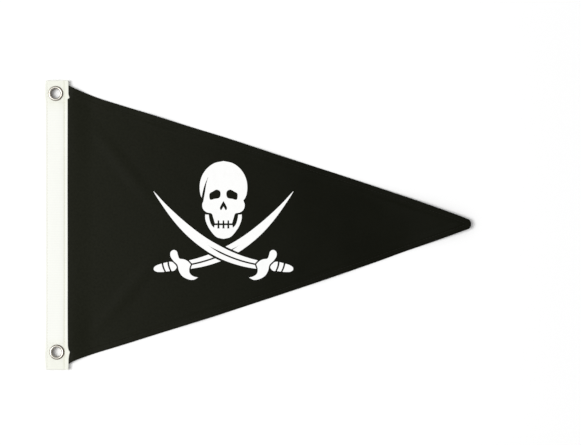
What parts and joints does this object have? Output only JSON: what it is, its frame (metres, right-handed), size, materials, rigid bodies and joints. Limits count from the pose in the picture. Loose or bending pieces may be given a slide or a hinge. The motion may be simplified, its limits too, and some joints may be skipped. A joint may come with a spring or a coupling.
{
  "type": "pirate flag",
  "caption": "Small black pennant flag with a white skull and crossed cutlasses, a white canvas heading and two metal grommets, lying flat.",
  "frame": {"origin": "on the surface that the flag lies on, under the middle of its outline", "axes": "+X from the heading to the tip, +Y up the hoist as the flag is flown, +Z out of the printed face"},
  "size_m": [0.449, 0.305, 0.0071],
  "materials": {
    "cloth": "matt black woven polyester with a flat white print",
    "canvas": "matt white canvas",
    "metal": "satin nickel plate"
  },
  "bodies": {
    "root": {"fly": "cloth", "heading": "canvas", "eyelet_top": "metal", "washer_top": "metal", "eyelet_bottom": "metal", "washer_bottom": "metal"}
  },
  "joints": []
}
